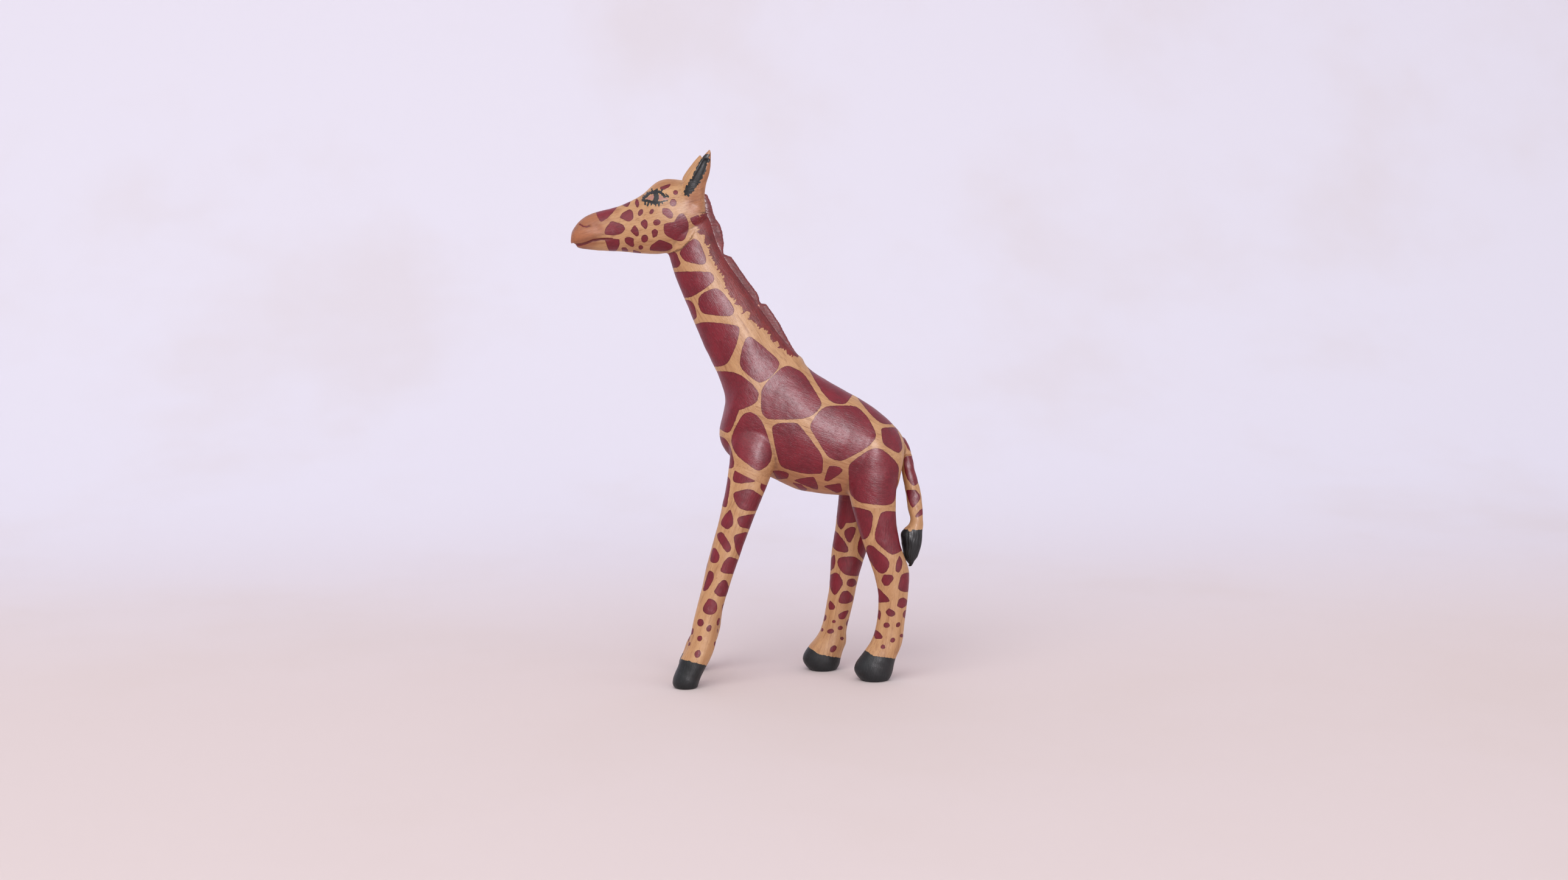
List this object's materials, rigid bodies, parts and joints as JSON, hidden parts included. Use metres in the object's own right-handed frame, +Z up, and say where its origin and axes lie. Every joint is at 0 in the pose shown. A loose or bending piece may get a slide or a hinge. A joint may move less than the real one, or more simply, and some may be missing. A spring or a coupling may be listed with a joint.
{
  "type": "carved giraffe figurine",
  "caption": "Standing giraffe figurine carved from pale wood, neck leaning forward, hand painted with dark patches, black hooves and a black tail tuft.",
  "frame": {"origin": "middle of the figure's box, at the height the four soles stand on", "axes": "+Z up, -X towards the nose, -Y towards the animal's left side"},
  "size_m": [0.1316, 0.0376, 0.1996],
  "materials": {
    "painted_wood": "pale wood painted with dark red patches under semi-gloss varnish",
    "mane_wood": "wood painted dark red-brown, semi-gloss",
    "peg_wood": "bare turned wood"
  },
  "bodies": {
    "root": {"head": "painted_wood", "head_peg": "peg_wood", "left_ear": "painted_wood", "left_ear_peg": "peg_wood", "left_front_leg": "painted_wood", "left_front_peg": "peg_wood", "left_hind_leg": "painted_wood", "left_hind_peg": "peg_wood", "mane": "mane_wood", "neck": "painted_wood", "neck_peg": "peg_wood", "right_ear": "painted_wood", "right_ear_peg": "peg_wood", "right_front_leg": "painted_wood", "right_front_peg": "peg_wood", "right_hind_leg": "painted_wood", "right_hind_peg": "peg_wood", "tail": "painted_wood", "tail_peg": "peg_wood", "torso": "painted_wood"}
  },
  "joints": []
}
